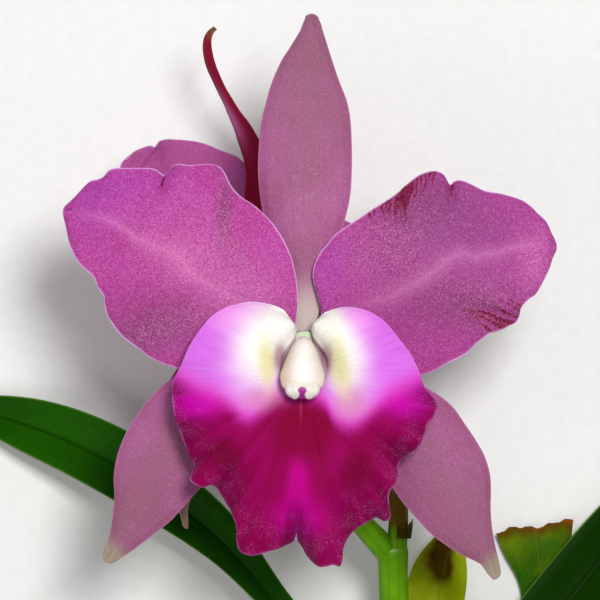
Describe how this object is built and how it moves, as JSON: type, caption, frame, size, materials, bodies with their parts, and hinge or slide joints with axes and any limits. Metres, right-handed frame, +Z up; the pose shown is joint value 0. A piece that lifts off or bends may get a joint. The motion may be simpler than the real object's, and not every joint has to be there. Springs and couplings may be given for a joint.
{
  "type": "cattleya orchid",
  "caption": "Cut flowering shoot of a cattleya orchid lying on its back: magenta blooms with ruffled lips back to back on one stalk, with sheath, leathery leaves and a cut cane",
  "frame": {"origin": "on the surface the shoot lies on, under the middle of its bounding box", "axes": "+Z up out of the surface, the way the front bloom faces; +Y from the cut end of the cane to the tip of the front bloom's dorsal sepal; +X to the right seen from above"},
  "size_m": [0.2015, 0.2301, 0.0912],
  "materials": {
    "sepal": "satin dusky pink flower tissue with a fine sparkling cell texture",
    "petal": "satin magenta flower tissue with fine veins and a pale rim",
    "lip": "velvety magenta with white and cream side lobes",
    "column": "waxy cream white",
    "anther": "waxy white with a magenta keyhole mark",
    "stalk": "smooth fresh green",
    "leaf": "glossy leathery dark green",
    "old_leaf": "yellowing green with brown blotches",
    "sheath": "thin yellow-green, drying to brown",
    "bract": "dry papery brown",
    "cane": "dull green with a fibrous cut end"
  },
  "bodies": {
    "root": {"dorsal_sepal": "sepal", "left_lateral_sepal": "sepal", "right_lateral_sepal": "sepal", "left_petal": "petal", "right_petal": "petal", "lip": "lip", "column": "column", "anther_cap": "anther", "ovary": "stalk", "rear_dorsal_sepal": "sepal", "rear_left_lateral_sepal": "sepal", "rear_right_lateral_sepal": "sepal", "rear_left_petal": "petal", "rear_right_petal": "petal", "rear_lip": "lip", "rear_column": "column", "rear_anther_cap": "anther", "rear_ovary": "stalk", "peduncle": "stalk", "floral_bract": "bract", "sheath": "sheath", "cane": "cane", "left_leaf": "leaf", "right_leaf": "leaf", "old_leaf": "old_leaf"}
  },
  "joints": []
}
